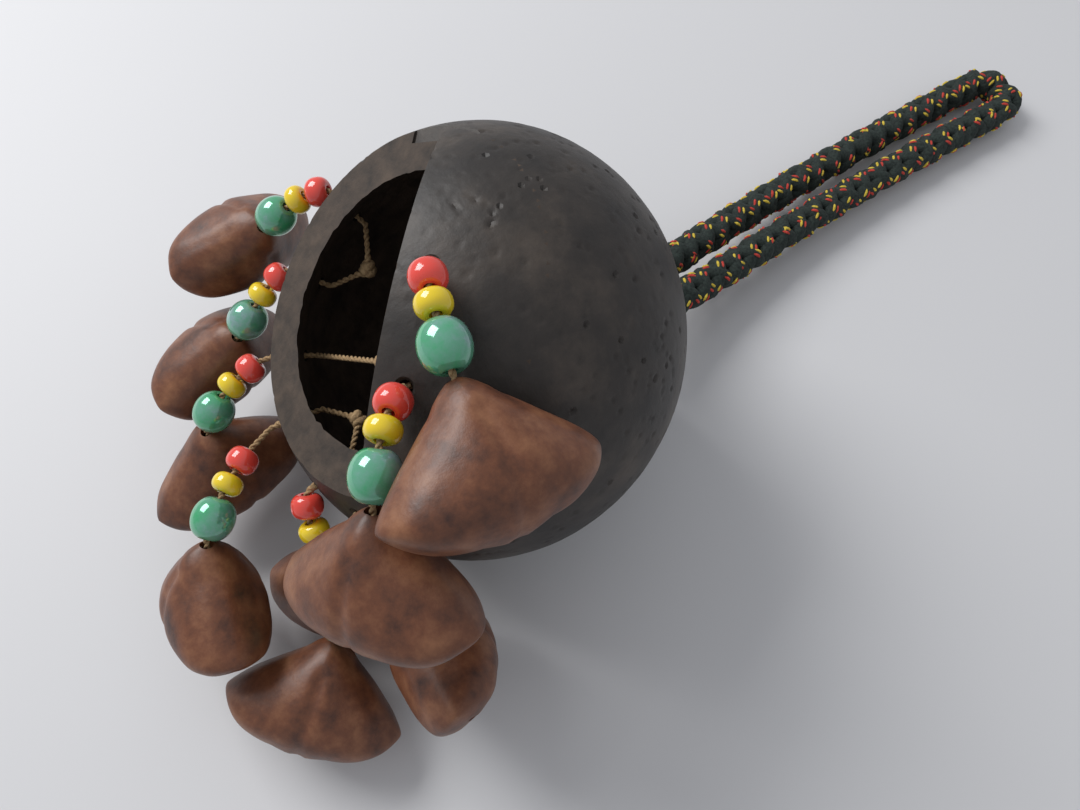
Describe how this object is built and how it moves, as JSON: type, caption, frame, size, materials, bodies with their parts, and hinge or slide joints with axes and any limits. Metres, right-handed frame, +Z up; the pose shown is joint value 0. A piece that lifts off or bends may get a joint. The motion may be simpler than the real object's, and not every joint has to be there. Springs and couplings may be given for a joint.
{
  "type": "nutshell shaker",
  "caption": "Shaker rattle: a cut-open coconut shell with hollow nuts hung on beaded twines round its mouth, and a braided cord loop as its handle.",
  "frame": {"origin": "on the table, under the middle of the coconut shell, on its resting flat", "axes": "+Z up, +X from the shell along the handle, the mouth towards -X and +Y"},
  "size_m": [0.2689, 0.1225, 0.0871],
  "materials": {
    "shell": "satin",
    "nut": "satin",
    "red_bead": "gloss",
    "yellow_bead": "gloss",
    "green_bead": "pearl gloss",
    "twine": "matt",
    "braid": "matt"
  },
  "bodies": {
    "shell": {"coconut_shell": "shell", "handle_knot": "braid", "inner_lacing_1": "twine", "inner_lacing_2": "twine", "inner_lacing_3": "twine", "inner_lacing_4": "twine", "inner_lacing_5": "twine"},
    "handle": {"braided_handle": "braid"},
    "hanger_1": {"twine_1": "twine", "red_bead_1": "red_bead", "yellow_bead_1": "yellow_bead", "green_bead_1": "green_bead"},
    "nut_body_1": {"nut_1": "nut"},
    "hanger_2": {"twine_2": "twine", "red_bead_2": "red_bead", "yellow_bead_2": "yellow_bead", "green_bead_2": "green_bead"},
    "nut_body_2": {"nut_2": "nut"},
    "hanger_3": {"twine_3": "twine", "red_bead_3": "red_bead", "yellow_bead_3": "yellow_bead", "green_bead_3": "green_bead"},
    "nut_body_3": {"nut_3": "nut"},
    "hanger_4": {"twine_4": "twine", "red_bead_4": "red_bead", "yellow_bead_4": "yellow_bead", "green_bead_4": "green_bead"},
    "nut_body_4": {"nut_4": "nut"},
    "hanger_5": {"twine_5": "twine", "red_bead_5": "red_bead", "yellow_bead_5": "yellow_bead", "green_bead_5": "green_bead"},
    "nut_body_5": {"nut_5": "nut"},
    "hanger_6": {"twine_6": "twine", "red_bead_6": "red_bead", "yellow_bead_6": "yellow_bead", "green_bead_6": "green_bead"},
    "nut_body_6": {"nut_6": "nut"},
    "hanger_7": {"twine_7": "twine", "red_bead_7": "red_bead", "yellow_bead_7": "yellow_bead", "green_bead_7": "green_bead"},
    "nut_body_7": {"nut_7": "nut"},
    "hanger_8": {"twine_8": "twine", "red_bead_8": "red_bead", "yellow_bead_8": "yellow_bead", "green_bead_8": "green_bead"},
    "nut_body_8": {"nut_8": "nut"},
    "hanger_9": {"twine_9": "twine", "red_bead_9": "red_bead", "yellow_bead_9": "yellow_bead", "green_bead_9": "green_bead"},
    "nut_body_9": {"nut_9": "nut"}
  },
  "joints": [
    {"name": "handle_lift", "type": "hinge", "parent": "shell", "child": "handle", "pos_m": [0.04293, 0, 0.01965], "axis": [0, -1, 0], "range_deg": [0, 25]},
    {"name": "hanger_swing_1", "type": "hinge", "parent": "shell", "child": "hanger_1", "pos_m": [-0.00693, 0.03864, 0.05383], "axis": [0.7968, 0.551, -0.2481], "range_deg": [0, 40]},
    {"name": "nut_tilt_1", "type": "hinge", "parent": "hanger_1", "child": "nut_body_1", "pos_m": [-0.02096, 0.04873, 0.04442], "axis": [0.9011, 0.4337, 0], "range_deg": [0, 10]},
    {"name": "hanger_swing_2", "type": "hinge", "parent": "shell", "child": "hanger_2", "pos_m": [-0.0213, 0.03474, 0.04439], "axis": [0.5406, 0.7808, -0.3133], "range_deg": [0, 7]},
    {"name": "nut_tilt_2", "type": "hinge", "parent": "hanger_2", "child": "nut_body_2", "pos_m": [-0.03743, 0.03578, 0.03345], "axis": [0.757, 0.6534, 0], "range_deg": [0, 10]},
    {"name": "hanger_swing_3", "type": "hinge", "parent": "shell", "child": "hanger_3", "pos_m": [-0.0334, 0.02341, 0.03827], "axis": [0.2319, 0.9113, -0.3401], "range_deg": [0, 10]},
    {"name": "nut_tilt_3", "type": "hinge", "parent": "hanger_3", "child": "nut_body_3", "pos_m": [-0.05267, 0.02219, 0.02911], "axis": [-0.9539, -0.1222, 0.274], "range_deg": [0, 13]},
    {"name": "hanger_swing_4", "type": "hinge", "parent": "shell", "child": "hanger_4", "pos_m": [-0.03963, 0.01038, 0.03678], "axis": [-0.2541, 0.8259, -0.5033], "range_deg": [0, 40]},
    {"name": "nut_tilt_4", "type": "hinge", "parent": "hanger_4", "child": "nut_body_4", "pos_m": [-0.06287, -0.00158, 0.03297], "axis": [-0.7133, 0.7009, 0], "range_deg": [0, 10]},
    {"name": "hanger_swing_5", "type": "hinge", "parent": "shell", "child": "hanger_5", "pos_m": [-0.04123, -0.00625, 0.03944], "axis": [0.3781, -0.8808, 0.285], "range_deg": [0, 7]},
    {"name": "nut_tilt_5", "type": "hinge", "parent": "hanger_5", "child": "nut_body_5", "pos_m": [-0.04588, -0.01738, 0.0245], "axis": [0.5073, -0.7008, -0.5015], "range_deg": [0, 16]},
    {"name": "hanger_swing_6", "type": "hinge", "parent": "shell", "child": "hanger_6", "pos_m": [-0.03798, -0.01796, 0.04447], "axis": [-0.4455, 0.8934, -0.0588], "range_deg": [0, 40]},
    {"name": "nut_tilt_6", "type": "hinge", "parent": "hanger_6", "child": "nut_body_6", "pos_m": [-0.05334, -0.02698, 0.01999], "axis": [-0.506, 0.8625, 0], "range_deg": [0, 13]},
    {"name": "hanger_swing_7", "type": "hinge", "parent": "shell", "child": "hanger_7", "pos_m": [-0.03204, -0.02281, 0.05652], "axis": [-0.7409, 0.6454, -0.1858], "range_deg": [0, 4]},
    {"name": "nut_tilt_7", "type": "hinge", "parent": "hanger_7", "child": "nut_body_7", "pos_m": [-0.04244, -0.03183, 0.02864], "axis": [-0.9415, -0.3371, 0], "range_deg": [0, 7]},
    {"name": "hanger_swing_8", "type": "hinge", "parent": "shell", "child": "hanger_8", "pos_m": [-0.02255, -0.01658, 0.07244], "axis": [-0.6902, 0.7189, -0.0821], "range_deg": [0, 5]},
    {"name": "nut_tilt_8", "type": "hinge", "parent": "hanger_8", "child": "nut_body_8", "pos_m": [-0.03611, -0.0297, 0.07016], "axis": [-0.7891, 0.6143, 0], "range_deg": [0, 10]},
    {"name": "hanger_swing_9", "type": "hinge", "parent": "shell", "child": "hanger_9", "pos_m": [-0.00972, -0.00606, 0.08151], "axis": [-0.927, 0.3582, -0.1113], "range_deg": [0, 40]},
    {"name": "nut_tilt_9", "type": "hinge", "parent": "hanger_9", "child": "nut_body_9", "pos_m": [-0.01769, -0.02507, 0.08158], "axis": [-0.9699, 0.2436, 0], "range_deg": [0, 10]}
  ]
}
